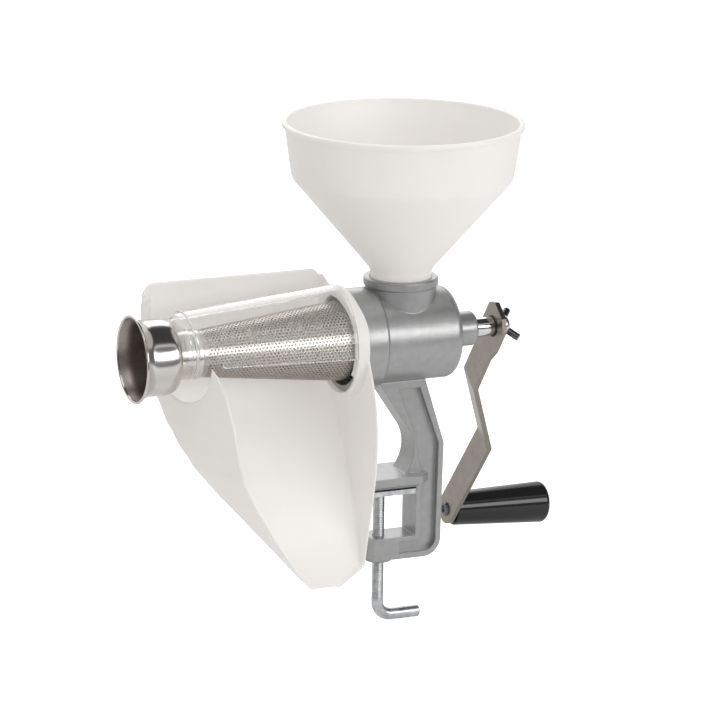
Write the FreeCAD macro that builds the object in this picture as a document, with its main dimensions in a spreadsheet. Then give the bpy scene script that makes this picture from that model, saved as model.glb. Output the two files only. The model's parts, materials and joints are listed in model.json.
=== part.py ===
import FreeCAD, Part, Sketcher
import math
import os
from types import SimpleNamespace

# Hand-cranked tomato strainer, clamped to a table edge.
# Origin: centre of the upper jaw's seat. X runs along the strainer's axis
# towards the crank, Z is up. Lengths are millimetres, angles degrees.
# Lengths along the axis are measured from the hopper's centre line,
# heights from the strainer's axis.

SIZES = (
    # Place of the strainer over the clamp
    ("hopper_offset", 16.5),
    # Barrel, nose and rear boss
    ("barrel_radius", 38.5),
    ("barrel_wall", 4.5),
    ("barrel_back", 42.5),
    ("barrel_back_wall", 5.0),
    ("barrel_edge", 7.0),
    ("nose_radius", 42.5),
    ("nose_start", 25.5),
    ("nose_step", 3.0),
    ("nose_face", 54.5),
    ("nose_edge", 1.5),
    ("screen_seat", 39.0),
    ("boss_radius", 14.5),
    ("boss_end", 66.5),
    ("boss_edge", 3.0),
    # Feed collar
    ("collar_radius", 29.5),
    ("collar_rim_radius", 31.0),
    ("collar_rim_height", 8.0),
    ("collar_top", 50.5),
    ("collar_ledge", 36.0),
    ("throat_radius", 22.5),
    # Leg and clamp frame
    ("leg_width", 27.0),
    ("leg_web", 17.0),
    ("leg_rim", 4.5),
    ("leg_waist_height", 92.5),
    ("leg_neck_left", 3.0),
    ("leg_waist_right", 35.8),
    ("leg_root_left", 24.0),
    ("leg_root_right", 18.0),
    ("leg_root_height", 36.5),
    ("leg_neck_height", 77.0),
    ("leg_foot_curve", 32.0),
    ("leg_foot_left", 1.5),
    ("spine_inside", 11.2),
    ("spine_foot", 34.3),
    ("spine_foot_height", 172.0),
    ("spine_corner", 16.0),
    ("jaw_top", 116.5),
    ("jaw_thickness", 7.0),
    ("jaw_reach", 40.0),
    ("jaw_back", 21.0),
    ("jaw_width", 48.0),
    ("jaw_corner", 9.0),
    ("jaw_pad_thickness", 2.0),
    ("jaw_pad_margin", 1.5),
    ("arm_top", 171.0),
    ("arm_bottom", 190.0),
    ("arm_reach", 27.0),
    ("arm_boss_radius", 11.0),
    ("arm_boss_drop", 2.5),
    # Clamp screw and plate
    ("screw_radius", 5.0),
    ("screw_clearance", 0.06),
    ("screw_bottom", 241.5),
    ("screw_bend", 10.0),
    ("screw_grip", 37.6),
    ("screw_tip_radius", 3.2),
    ("screw_tip_height", 2.6),
    ("plate_gap", 2.4),
    ("plate_thickness", 4.2),
    ("plate_width", 40.0),
    ("plate_length", 46.0),
    ("plate_corner", 3.0),
    # Drive shaft, its bearing and its seal
    ("shaft_radius", 8.0),
    ("shaft_clearance", 0.05),
    ("shaft_collar_radius", 13.0),
    ("shaft_collar_width", 4.0),
    ("collar_gap", 0.3),
    ("shaft_square", 12.0),
    ("shaft_square_end", -8.0),
    ("bushing_wall", 2.5),
    ("seal_width", 3.0),
    ("tang_square", 11.0),
    ("tang_hole_radius", 4.0),
    ("tang_hole_depth", 18.0),
    # Crank arm
    ("arm_face", 84.5),
    ("bar_thickness", 4.0),
    ("bar_width", 26.0),
    ("head_width", 34.0),
    ("head_rise", 19.5),
    ("head_length", 30.0),
    ("head_corner", 8.0),
    ("first_bend", 71.0),
    ("second_bend", 160.0),
    ("crank_radius", 261.0),
    ("crank_offset", 40.0),
    ("crank_angle", 37.5),
    ("foot_lean", 3.0),
    ("bend_radius", 9.0),
    # Wing bolt and its washer
    ("washer_thickness", 1.5),
    ("washer_radius", 10.5),
    ("wing_hub_radius", 9.0),
    ("wing_hub_length", 8.0),
    ("wing_thickness", 6.4),
    ("wing_reach", 15.0),
    ("wing_rise", 13.5),
    ("wing_angle", -53.0),
    ("wing_bolt_length", 16.0),
    # Handle grip and its bolt
    ("grip_near_radius", 14.8),
    ("grip_far_radius", 18.2),
    ("grip_length", 90.0),
    ("grip_edge", 4.0),
    ("grip_gap", 0.3),
    ("grip_washer_thickness", 1.6),
    ("grip_washer_radius", 9.0),
    ("grip_bolt_radius", 4.0),
    ("grip_bolt_clearance", 0.08),
    ("grip_hole_room", 0.35),
    ("grip_head_radius", 7.0),
    ("grip_head_height", 4.5),
    ("grip_head_socket", 3.2),
    ("grip_nut_width", 13.0),
    ("grip_nut_height", 6.5),
    ("grip_nut_depth", 14.0),
    ("grip_nut_room", 9.0),
    # Auger and its spring
    ("auger_back", 28.0),
    ("auger_front", 178.0),
    ("auger_pitch", 32.0),
    ("auger_core_radius", 13.0),
    ("auger_core_front", 8.0),
    ("auger_core_straight", 30.0),
    ("auger_gap", 0.8),
    ("core_sides", 8),
    ("rings_per_turn", 10),
    ("flight_root", 5.0),
    ("flight_tip", 2.6),
    ("socket_clearance", 0.15),
    ("socket_end", -24.0),
    ("spring_radius", 4.9),
    ("spring_wire", 0.75),
    ("spring_turns", 5.0),
    # Screen and its rings
    ("screen_big_radius", 34.6),
    ("screen_small_radius", 19.1),
    ("screen_front", 182.0),
    ("screen_wall", 0.6),
    ("flange_radius", 37.0),
    ("flange_clearance", 0.15),
    ("flange_width", 6.0),
    ("neck_ring_radius", 20.6),
    ("neck_ring_length", 10.0),
    # Waste cup
    ("cup_neck_radius", 20.2),
    ("cup_body_radius", 31.4),
    ("cup_rim_radius", 36.2),
    ("cup_neck_length", 10.0),
    ("cup_shoulder_length", 14.0),
    ("cup_shoulder_curve", 13.5),
    ("cup_body_length", 14.0),
    ("cup_flare_length", 7.0),
    ("cup_wall", 1.2),
    ("cup_bead", 2.0),
    # Juice chute
    ("ring_gap", 0.3),
    ("ring_wall", 3.2),
    ("ring_back", 46.5),
    ("ring_front", 57.0),
    ("ring_lip", 2.2),
    ("ring_lip_radius", 37.4),
    ("ring_lip_drop", 22.0),
    ("chute_wall", 2.2),
    ("chute_top", 51.0),
    ("chute_back", 50.0),
    ("chute_bend_back", 31.0),
    ("chute_bend_height", 47.0),
    ("chute_floor_front", 13.0),
    ("chute_floor_height", 118.0),
    ("chute_tip_front", 36.0),
    ("chute_tip", 200.0),
    ("chute_lip", 3.5),
    ("chute_lip_front", 46.0),
    ("chute_lip_height", 168.0),
    ("chute_belly", 64.5),
    ("chute_belly_height", 90.0),
    ("chute_rim_drop", 8.0),
    ("chute_left", 198.5),
    ("chute_corner", 13.0),
    ("chute_slant", 0.3),
    ("chute_knee", 202.0),
    ("chute_knee_height", 36.0),
    ("chute_waist", 190.5),
    ("chute_waist_height", 84.0),
    ("chute_flank", 163.5),
    ("chute_flank_height", 125.0),
    ("chute_hip", 139.0),
    ("chute_hip_height", 160.0),
    ("chute_spout", 101.0),
    ("chute_spout_right", 82.0),
    ("chute_heel_height", 182.0),
    ("notch_radius", 38.5),
    # Splash shield
    ("shield_gap", 0.3),
    ("shield_wall", 1.6),
    ("shield_rise", 1.8),
    ("shield_right", 50.0),
    ("shield_left_radius", 37.3),
    ("shield_left", 193.0),
    ("shield_dome", 8.5),
    ("shield_angle", 138.0),
    # Hopper
    ("hopper_radius", 100.0),
    ("hopper_top", 180.0),
    ("hopper_wall", 2.4),
    ("hopper_bead", 2.6),
    ("hopper_bead_height", 4.4),
    ("hopper_cone_radius", 91.4),
    ("hopper_cone_top", 134.0),
    ("hopper_cone_bottom", 57.0),
    ("hopper_neck_radius", 25.5),
    ("hopper_neck_gap", 0.3),
)


class Size:
    """A length: the sheet formula that gives it, and its present value."""

    def __init__(self, formula, value):
        self.formula = formula
        self.value = value

    def __add__(self, other):
        other = as_size(other)
        return Size(f"({self.formula} + {other.formula})", self.value + other.value)

    def __sub__(self, other):
        other = as_size(other)
        return Size(f"({self.formula} - {other.formula})", self.value - other.value)

    def __mul__(self, other):
        other = as_size(other)
        return Size(f"({self.formula} * {other.formula})", self.value * other.value)

    def __truediv__(self, other):
        other = as_size(other)
        return Size(f"({self.formula} / {other.formula})", self.value / other.value)

    def __radd__(self, other):
        return as_size(other) + self

    def __rsub__(self, other):
        return as_size(other) - self

    def __rmul__(self, other):
        return as_size(other) * self

    def __neg__(self):
        return as_size(0) - self

    def __float__(self):
        return self.value


def as_size(term):
    return term if isinstance(term, Size) else Size(f"{float(term):.6f}", float(term))


doc = FreeCAD.newDocument("tomato_strainer")
sheet = doc.addObject("Spreadsheet::Sheet", "Sizes")
for row, (name, value) in enumerate(SIZES, start=1):
    sheet.set(f"A{row}", name)
    sheet.set(f"B{row}", str(value))
    sheet.setAlias(f"B{row}", name)
doc.recompute()
s = SimpleNamespace(**{name: Size(f"Sizes.{name}", value) for name, value in SIZES})
# The origin is on the upper jaw's seat, so the jaw's depth sets the axis's height.
s.axis_height = s.jaw_top + s.jaw_thickness + s.jaw_pad_thickness
# The cup's stretches follow each other from the screen's neck ring.
s.cup_start = s.screen_front + s.neck_ring_length
s.cup_shoulder = s.cup_start + s.cup_neck_length
s.cup_body_start = s.cup_shoulder + s.cup_shoulder_length
s.cup_flare = s.cup_body_start + s.cup_body_length
s.cup_face = s.cup_flare + s.cup_flare_length


def new_body(name):
    """A piece's own body, named after the piece."""
    body = doc.addObject("PartDesign::Body", name)
    body.Label = name
    return body


def new_piece(name, shape):
    """A piece whose shape is worked out from the sheet's values."""
    piece = doc.addObject("Part::Feature", name)
    piece.Label = name
    piece.Shape = shape
    return piece


def put(piece, x=0, y=0, z=0):
    """Move a piece's own origin to a place in the strainer."""
    for axis, place in zip("xyz", (x, y, z)):
        piece.setExpression(f"Placement.Base.{axis}", as_size(place).formula)


def put_on_axis(piece, x=0):
    """Put a piece's own origin on the strainer's axis, x beyond the hopper."""
    put(piece, s.hopper_offset + x, 0, s.axis_height)


def sketch_on(body, role, name, offset=None):
    """A sketch on one of the body's own origin planes, or beside it."""
    plane = next(f for f in body.Origin.OriginFeatures if f.Role == role)
    sketch = body.newObject("Sketcher::SketchObject", name)
    sketch.AttachmentSupport = [(plane, "")]
    sketch.MapMode = "FlatFace"
    if offset is not None:
        sketch.setExpression("AttachmentOffset.Base.z", as_size(offset).formula)
    return sketch


def hold(sketch, kind, places, size):
    """Add a dimension to a sketch and bind it to the sheet."""
    size = as_size(size)
    number = sketch.addConstraint(Sketcher.Constraint(kind, *places, size.value))
    sketch.setExpression(f"Constraints[{number}]", size.formula)


def outline(sketch, corners):
    """A closed outline through corners (across, up) or (across, up, radius).

    A radius makes the stretch to the next corner an arc: positive bulges to
    the right of the way it runs, negative to the left.
    """
    corners = [tuple(as_size(v) for v in corner) for corner in corners]
    first = len(sketch.Geometry)
    ends = []
    for i, corner in enumerate(corners):
        start = FreeCAD.Vector(corner[0].value, corner[1].value, 0)
        after = corners[(i + 1) % len(corners)]
        stop = FreeCAD.Vector(after[0].value, after[1].value, 0)
        if len(corner) == 2:
            sketch.addGeometry(Part.LineSegment(start, stop))
            ends.append((1, 2))
            continue
        radius = abs(corner[2].value)
        chord = stop - start
        left = FreeCAD.Vector(-chord.y, chord.x, 0).normalize()
        rise = math.sqrt(max(radius**2 - chord.Length**2 / 4, 0))
        turn = 1 if corner[2].value > 0 else -1
        centre = (start + stop) / 2 + left * rise * turn
        circle = Part.Circle(centre, FreeCAD.Vector(0, 0, 1), radius)
        low, high = (start, stop) if turn > 0 else (stop, start)
        angles = [math.atan2(p.y - centre.y, p.x - centre.x) for p in (low, high)]
        sketch.addGeometry(Part.ArcOfCircle(circle, *angles))
        ends.append((1, 2) if turn > 0 else (2, 1))
    for i, corner in enumerate(corners):
        after = (i + 1) % len(corners)
        here, there = first + i, first + after
        sketch.addConstraint(
            Sketcher.Constraint("Coincident", here, ends[i][1], there, ends[after][0])
        )
        if len(corner) == 3:
            radius = corner[2] if corner[2].value > 0 else -corner[2]
            hold(sketch, "Radius", (here,), radius)
        hold(sketch, "DistanceX", (-1, 1, here, ends[i][0]), corner[0])
        hold(sketch, "DistanceY", (-1, 1, here, ends[i][0]), corner[1])


def circle(sketch, across, up, radius):
    """A circle in a sketch, bound to the sheet."""
    across, up, radius = as_size(across), as_size(up), as_size(radius)
    centre = FreeCAD.Vector(across.value, up.value, 0)
    ring = Part.Circle(centre, FreeCAD.Vector(0, 0, 1), radius.value)
    number = sketch.addGeometry(ring)
    hold(sketch, "Radius", (number,), radius)
    hold(sketch, "DistanceX", (-1, 1, number, 3), across)
    hold(sketch, "DistanceY", (-1, 1, number, 3), up)


def feature(body, kind, sketch, **settings):
    """A sketch-based feature, its settings bound where they are sizes."""
    made = body.newObject(f"PartDesign::{kind}", f"{body.Name}_{kind}")
    made.Profile = sketch
    for name, value in settings.items():
        if isinstance(value, Size):
            made.setExpression(name, value.formula)
        else:
            setattr(made, name, value)
    sketch.Visibility = False
    body.Tip = made
    return made


def turned(body, corners, axis="H_Axis", kind="Revolution", angle=360.0, role="XZ_Plane"):
    """Turn an outline about the sketch's own level or upright axis."""
    sketch = sketch_on(body, role, f"{body.Name}_profile")
    outline(sketch, corners)
    return feature(body, kind, sketch, ReferenceAxis=(sketch, [axis]), Angle=angle)


def rounded(body, radius, wanted):
    """Fillet the edges of the body's tip that a test picks."""
    doc.recompute()
    base = body.Tip
    names = [f"Edge{i}" for i, e in enumerate(base.Shape.Edges, start=1) if wanted(e)]
    if not names:
        raise ValueError(f"no edge to round on {body.Label}")
    fillet = body.newObject("PartDesign::Fillet", f"{body.Name}_Fillet")
    fillet.Base = (base, names)
    fillet.setExpression("Radius", as_size(radius).formula)
    body.Tip = fillet
    return fillet


def cast_body():
    """Barrel, nose, boss, feed collar, I-section leg and C-clamp frame."""
    body = new_body("body_casting")
    bore = s.barrel_radius - s.barrel_wall
    turned(
        body,
        (
            (-s.nose_face, 0),
            (-s.nose_face, s.nose_radius - s.nose_edge),
            (-s.nose_face + s.nose_edge, s.nose_radius),
            (-s.nose_start - s.nose_step, s.nose_radius),
            (-s.nose_start, s.barrel_radius),
            (s.barrel_back - s.barrel_edge, s.barrel_radius, -s.barrel_edge),
            (s.barrel_back, s.barrel_radius - s.barrel_edge),
            (s.barrel_back, s.boss_radius),
            (s.boss_end - s.boss_edge, s.boss_radius, -s.boss_edge),
            (s.boss_end, s.boss_radius - s.boss_edge),
            (s.boss_end, 0),
        ),
        role="XY_Plane",
    )
    collar = sketch_on(body, "XZ_Plane", "collar_profile")
    outline(
        collar,
        (
            (0, 0),
            (s.collar_radius, 0),
            (s.collar_radius, s.collar_top - s.collar_rim_height),
            (s.collar_rim_radius, s.collar_top - s.collar_rim_height + 1.5),
            (s.collar_rim_radius, s.collar_top - 1),
            (s.collar_rim_radius - 1, s.collar_top),
            (0, s.collar_top),
        ),
    )
    feature(body, "Revolution", collar, ReferenceAxis=(collar, ["V_Axis"]), Angle=360.0)
    frame = sketch_on(body, "XZ_Plane", "frame_outline")
    outline(frame, frame_corners())
    feature(body, "Pad", frame, Length=s.leg_width, Midplane=True)
    panels = sketch_on(body, "XZ_Plane", "frame_panels")
    for corners in panel_corners():
        outline(panels, corners)
    feature(body, "Pocket", panels, Type="ThroughAll", Midplane=True)
    webs = sketch_on(body, "XZ_Plane", "frame_webs")
    for corners in panel_corners():
        outline(webs, corners)
    feature(body, "Pad", webs, Length=s.leg_web, Midplane=True)
    jaw = sketch_on(body, "XY_Plane", "jaw_outline", -s.jaw_top - s.jaw_thickness)
    outline(jaw, jaw_corners())
    feature(body, "Pad", jaw, Length=s.jaw_thickness)
    boss = sketch_on(body, "XY_Plane", "screw_boss", -s.arm_bottom - s.arm_boss_drop)
    circle(boss, -s.hopper_offset, 0, s.arm_boss_radius)
    feature(body, "Pad", boss, Length=s.arm_bottom - s.arm_top + s.arm_boss_drop)
    hollow = turned(
        body,
        (
            (-s.nose_face - 1, 0),
            (-s.nose_face - 1, s.flange_radius + s.flange_clearance),
            (-s.screen_seat, s.flange_radius + s.flange_clearance),
            (-s.screen_seat, bore),
            (s.barrel_back - s.barrel_back_wall, bore),
            (s.barrel_back - s.barrel_back_wall, s.shaft_radius + s.bushing_wall),
            (s.boss_end + 1, s.shaft_radius + s.bushing_wall),
            (s.boss_end + 1, 0),
        ),
        kind="Groove",
        role="XY_Plane",
    )
    hollow.Label = "barrel_hollow"
    throat = sketch_on(body, "XZ_Plane", "throat_profile")
    neck_bore = s.hopper_neck_radius + s.hopper_neck_gap
    outline(
        throat,
        (
            (0, 0),
            (s.throat_radius, 0),
            (s.throat_radius, s.collar_ledge),
            (neck_bore, s.collar_ledge),
            (neck_bore, s.collar_top + 1),
            (0, s.collar_top + 1),
        ),
    )
    feature(body, "Groove", throat, ReferenceAxis=(throat, ["V_Axis"]), Angle=360.0)
    thread = sketch_on(body, "XY_Plane", "screw_hole", -s.arm_bottom - s.arm_boss_drop - 1)
    circle(thread, -s.hopper_offset, 0, s.screw_radius + s.screw_clearance)
    depth = s.arm_bottom - s.arm_top + s.arm_boss_drop + 3
    feature(body, "Pocket", thread, Length=depth, Reversed=True)
    put_on_axis(body)
    return body


def frame_corners():
    """Outline of the leg and clamp frame, seen from the side, clockwise."""
    return (
        (-s.leg_root_left, -s.leg_root_height),
        (s.leg_neck_left, -s.leg_neck_height, -s.leg_foot_curve),
        (s.leg_foot_left, -s.jaw_top),
        (-s.jaw_reach + 4, -s.jaw_top - 1),
        (-s.jaw_reach + 4, -s.jaw_top - s.jaw_thickness),
        (s.spine_inside, -s.jaw_top - s.jaw_thickness),
        (s.spine_inside, -s.arm_top),
        (-s.arm_reach, -s.arm_top),
        (-s.arm_reach, -s.arm_bottom),
        (s.spine_foot - s.spine_corner, -s.arm_bottom, s.spine_corner),
        (s.spine_foot, -s.spine_foot_height),
        (s.leg_waist_right, -s.leg_waist_height),
        (s.leg_root_right, -s.leg_root_height),
    )


def panel_corners():
    """The sunk panels of the I section: one in the leg, one in the C frame."""
    rim = s.leg_rim
    leg = (
        (-s.leg_root_left + 4 * rim, -s.barrel_radius - rim),
        (s.leg_neck_left + rim, -s.leg_neck_height),
        (s.leg_foot_left + 3 * rim, -s.jaw_top + rim),
        (s.spine_inside + rim, -s.jaw_top),
        (s.spine_inside + rim, -s.arm_top - rim),
        (-s.hopper_offset + s.arm_boss_radius + 2, -s.arm_top - rim),
        (-s.hopper_offset + s.arm_boss_radius + 2, -s.arm_bottom + rim),
        (s.spine_foot - s.spine_corner, -s.arm_bottom + rim, s.spine_corner - rim),
        (s.spine_foot - rim, -s.spine_foot_height),
        (s.leg_waist_right - rim, -s.leg_waist_height),
        (s.leg_root_right - rim, -s.barrel_radius - rim),
    )
    return (leg,)


def jaw_corners():
    """Plan of the upper jaw, its two back corners cut off."""
    half = s.jaw_width / 2
    back = s.jaw_back
    return (
        (-s.jaw_reach, -half),
        (back - s.jaw_corner, -half),
        (back, -half + s.jaw_corner),
        (back, half - s.jaw_corner),
        (back - s.jaw_corner, half),
        (-s.jaw_reach, half),
    )


def jaw_pad():
    """Rubber strip under the upper jaw, in front of the spine."""
    body = new_body("jaw_pad")
    half = s.jaw_width / 2 - s.jaw_pad_margin
    left = -s.jaw_reach + s.jaw_pad_margin + s.hopper_offset
    right = s.spine_inside - s.jaw_pad_margin + s.hopper_offset
    sketch = sketch_on(body, "XY_Plane", "jaw_pad_outline")
    outline(sketch, ((left, -half), (right, -half), (right, half), (left, half)))
    feature(body, "Pad", sketch, Length=s.jaw_pad_thickness)
    put(body, 0, 0, 0)
    return body


def clamp_screw():
    """Rod with a swivel tip, bent to a level grip at its lower end."""
    body = new_body("clamp_screw")
    path = sketch_on(body, "XZ_Plane", "screw_path")
    top = s.axis_height - s.jaw_top - s.jaw_thickness - s.jaw_pad_thickness
    top = top - s.plate_gap - s.plate_thickness - s.collar_gap
    low = s.axis_height - s.screw_bottom
    high = FreeCAD.Vector(0, top.value, 0)
    knee = FreeCAD.Vector(0, (low + s.screw_bend).value, 0)
    toe = FreeCAD.Vector(s.screw_bend.value, low.value, 0)
    end = FreeCAD.Vector(s.screw_grip.value, low.value, 0)
    centre = FreeCAD.Vector(s.screw_bend.value, (low + s.screw_bend).value, 0)
    ring = Part.Circle(centre, FreeCAD.Vector(0, 0, 1), s.screw_bend.value)
    path.addGeometry(Part.LineSegment(high, knee))
    path.addGeometry(Part.ArcOfCircle(ring, math.pi, 1.5 * math.pi))
    path.addGeometry(Part.LineSegment(toe, end))
    path.addConstraint(Sketcher.Constraint("Coincident", 0, 2, 1, 1))
    path.addConstraint(Sketcher.Constraint("Coincident", 1, 2, 2, 1))
    hold(path, "DistanceX", (-1, 1, 0, 1), 0)
    hold(path, "DistanceY", (-1, 1, 0, 1), top)
    hold(path, "DistanceX", (-1, 1, 0, 2), 0)
    hold(path, "DistanceY", (-1, 1, 0, 2), low + s.screw_bend)
    hold(path, "DistanceX", (-1, 1, 2, 1), s.screw_bend)
    hold(path, "DistanceY", (-1, 1, 2, 1), low)
    hold(path, "DistanceX", (-1, 1, 2, 2), s.screw_grip)
    hold(path, "DistanceY", (-1, 1, 2, 2), low)
    hold(path, "Radius", (1,), s.screw_bend)
    rod = sketch_on(body, "XY_Plane", "screw_section", top)
    circle(rod, 0, 0, s.screw_radius)
    pipe = body.newObject("PartDesign::AdditivePipe", "screw_rod")
    pipe.Profile = rod
    pipe.Spine = (path, ["Edge1", "Edge2", "Edge3"])
    body.Tip = pipe
    tip = sketch_on(body, "XY_Plane", "screw_tip", top)
    circle(tip, 0, 0, s.screw_tip_radius)
    feature(body, "Pad", tip, Length=s.screw_tip_height)
    put(body)
    return body


def clamp_plate():
    """Pressure plate on the screw's tip, with a round socket under it."""
    body = new_body("clamp_plate")
    right = s.hopper_offset + s.spine_inside - 1.5
    left = right - s.plate_length
    half = s.plate_width / 2
    low = -s.plate_gap - s.plate_thickness
    sketch = sketch_on(body, "XY_Plane", "plate_outline", low)
    corner = s.plate_corner
    outline(
        sketch,
        (
            (left + corner, -half),
            (right - corner, -half, corner),
            (right, -half + corner),
            (right, half - corner, corner),
            (right - corner, half),
            (left + corner, half, corner),
            (left, half - corner),
            (left, -half + corner, corner),
        ),
    )
    feature(body, "Pad", sketch, Length=s.plate_thickness)
    hole = sketch_on(body, "XY_Plane", "plate_socket", low - 1)
    circle(hole, 0, 0, s.screw_tip_radius + s.collar_gap)
    feature(body, "Pocket", hole, Length=s.screw_tip_height + 1, Reversed=True)
    put(body)
    return body


def drive_shaft():
    """Round shaft: square inner end, thrust collar, square outer tang."""
    body = new_body("drive_shaft")
    wall = s.barrel_back - s.barrel_back_wall - s.collar_gap
    turned(
        body,
        (
            (wall - s.shaft_collar_width, 0),
            (wall - s.shaft_collar_width, s.shaft_collar_radius - 1),
            (wall - s.shaft_collar_width + 1, s.shaft_collar_radius),
            (wall, s.shaft_collar_radius),
            (wall, s.shaft_radius),
            (s.arm_face, s.shaft_radius),
            (s.arm_face, 0),
        ),
    )
    half = s.shaft_square / 2
    square = sketch_on(body, "YZ_Plane", "inner_square", s.shaft_square_end)
    outline(square, ((-half, -half), (half, -half), (half, half), (-half, half)))
    length = wall - s.shaft_collar_width - s.shaft_square_end + 1
    feature(body, "Pad", square, Length=length)
    half = s.tang_square / 2
    tang = sketch_on(body, "YZ_Plane", "outer_tang", s.arm_face - 1)
    outline(tang, ((-half, -half), (half, -half), (half, half), (-half, half)))
    feature(body, "Pad", tang, Length=s.bar_thickness - 0.5 + 1)
    hole = sketch_on(body, "YZ_Plane", "tang_hole", s.arm_face + s.bar_thickness + 1)
    circle(hole, 0, 0, s.tang_hole_radius)
    feature(body, "Pocket", hole, Length=s.tang_hole_depth)
    put_on_axis(body)
    body.Placement.Rotation = FreeCAD.Rotation(FreeCAD.Vector(1, 0, 0), s.crank_angle.value)
    return body


def rear_bushing():
    """Plain bearing in the rear boss."""
    body = new_body("rear_bushing")
    start = s.barrel_back + s.seal_width
    inner = s.shaft_radius + s.shaft_clearance
    outer = s.shaft_radius + s.bushing_wall
    turned(
        body,
        (
            (start, inner),
            (start, outer),
            (s.boss_end, outer),
            (s.boss_end, inner + 0.6),
            (s.boss_end - 0.6, inner),
        ),
    )
    put_on_axis(body)
    return body


def shaft_seal():
    """Ring seal between the bearing and the barrel's rear wall."""
    body = new_body("shaft_seal")
    inner = s.shaft_radius + s.shaft_clearance
    outer = s.shaft_radius + s.bushing_wall
    start = s.barrel_back
    stop = s.barrel_back + s.seal_width - s.collar_gap
    turned(
        body,
        (
            (start + 0.6, inner),
            (start, inner + 0.6),
            (start, outer),
            (stop, outer),
            (stop, inner + 0.6),
            (stop - 0.6, inner),
        ),
    )
    put_on_axis(body)
    return body


def crank_arm():
    """Flat bar with a wide head and two bends, hanging from the shaft."""
    body = new_body("crank_arm")
    bar = s.bar_thickness
    side = sketch_on(body, "XZ_Plane", "arm_side")
    slope = s.crank_offset / (s.second_bend - s.first_bend)
    shift = bar * slope / 2
    lean = foot_run(s.bar_width / 2)
    low = -s.crank_radius - s.bar_width / 2
    outline(
        side,
        (
            (s.arm_face, s.head_rise),
            (s.arm_face + bar, s.head_rise),
            (s.arm_face + bar, -s.first_bend + shift),
            (s.arm_face + bar + s.crank_offset, -s.second_bend + shift),
            (s.arm_face + bar + s.crank_offset - lean, low),
            (s.arm_face + s.crank_offset - lean, low),
            (s.arm_face + s.crank_offset, -s.second_bend - shift),
            (s.arm_face, -s.first_bend - shift),
        ),
    )
    feature(body, "Pad", side, Length=s.head_width, Midplane=True)
    bends = (-s.first_bend.value, -s.second_bend.value)

    def bend(edge):
        ends = [v.Point for v in edge.Vertexes]
        across = len(ends) == 2 and abs(ends[0].y - ends[1].y) > 1
        return across and any(abs(ends[0].z - z) < 3 for z in bends)

    rounded(body, s.bend_radius, bend)
    trim = sketch_on(body, "YZ_Plane", "arm_front", s.arm_face - 1)
    beside = s.head_width / 2 + 4
    foot = low - 4
    high = s.head_rise + 4
    outline(trim, ((-beside, foot), (beside, foot), (beside, high), (-beside, high)))
    outline(trim, arm_front())
    feature(
        body,
        "Pocket",
        trim,
        Length=s.crank_offset + bar + 2,
        Reversed=True,
    )
    half = s.tang_square / 2
    square = sketch_on(body, "YZ_Plane", "arm_square", s.arm_face - 1)
    outline(square, ((-half, -half), (half, -half), (half, half), (-half, half)))
    feature(body, "Pocket", square, Length=bar + 2, Reversed=True)
    hole = sketch_on(body, "YZ_Plane", "arm_hole", s.arm_face + s.crank_offset - foot_run(0) - 2)
    circle(hole, 0, -s.crank_radius, s.grip_bolt_radius + s.grip_hole_room)
    feature(body, "Pocket", hole, Length=bar + 4, Reversed=True)
    put_on_axis(body)
    body.Placement.Rotation = FreeCAD.Rotation(FreeCAD.Vector(1, 0, 0), s.crank_angle.value)
    return body


def foot_run(extra):
    """How far the leaning foot comes back towards the barrel below its bend."""
    lean = math.radians(s.foot_lean.value)
    steep = Size("tan(Sizes.foot_lean)", math.tan(lean))
    return (s.crank_radius + extra - s.second_bend) * steep


def arm_front():
    """Outline of the arm, seen along the shaft: wide head, round foot."""
    half = s.bar_width / 2
    head = s.head_width / 2
    corner = s.head_corner
    return (
        (-head + corner, s.head_rise),
        (-head, s.head_rise - corner),
        (-head, -s.head_length / 2),
        (-half, -s.head_length),
        (-half, -s.crank_radius, half + 0.001),
        (half, -s.crank_radius),
        (half, -s.head_length),
        (head, -s.head_length / 2),
        (head, s.head_rise - corner),
        (head - corner, s.head_rise),
    )


def lock_washer():
    """Washer between the arm and the wing bolt's hub."""
    body = new_body("lock_washer")
    start = s.arm_face + s.bar_thickness
    inner = s.tang_hole_radius + s.socket_clearance
    ring = sketch_on(body, "YZ_Plane", "washer_outline", start)
    circle(ring, 0, 0, s.washer_radius)
    circle(ring, 0, 0, inner)
    feature(body, "Pad", ring, Length=s.washer_thickness)
    put_on_axis(body)
    return body


def wing_bolt():
    """Domed hub with two wings in a V, and a shank into the shaft's end."""
    body = new_body("wing_bolt")
    start = s.arm_face + s.bar_thickness + s.washer_thickness
    shank = s.tang_hole_radius - s.shaft_clearance
    dome = s.wing_hub_radius / 2
    turned(
        body,
        (
            (start - s.wing_bolt_length, 0),
            (start - s.wing_bolt_length, shank - 0.8),
            (start - s.wing_bolt_length + 0.8, shank),
            (start, shank),
            (start, s.wing_hub_radius),
            (start + s.wing_hub_length - dome, s.wing_hub_radius, -1.25 * s.wing_hub_radius),
            (start + s.wing_hub_length, 0),
        ),
    )
    wings = sketch_on(body, "XZ_Plane", "wing_outline")
    half = s.wing_thickness / 2
    root = start + s.wing_hub_length
    low = s.wing_reach - half / 2
    high = s.wing_reach + half / 2
    rise = start + s.wing_rise
    outline(
        wings,
        (
            (start + 1, -s.wing_hub_radius / 2),
            (start + 1, s.wing_hub_radius / 2),
            (rise - half, high),
            (rise + half, low),
            (root - 2, half / 2),
            (root - 2, -half / 2),
            (rise + half, -low),
            (rise - half, -high),
        ),
    )
    feature(body, "Pad", wings, Length=s.wing_thickness, Midplane=True)
    put_on_axis(body)
    body.Placement.Rotation = FreeCAD.Rotation(FreeCAD.Vector(1, 0, 0), s.wing_angle.value)
    return body


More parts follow.
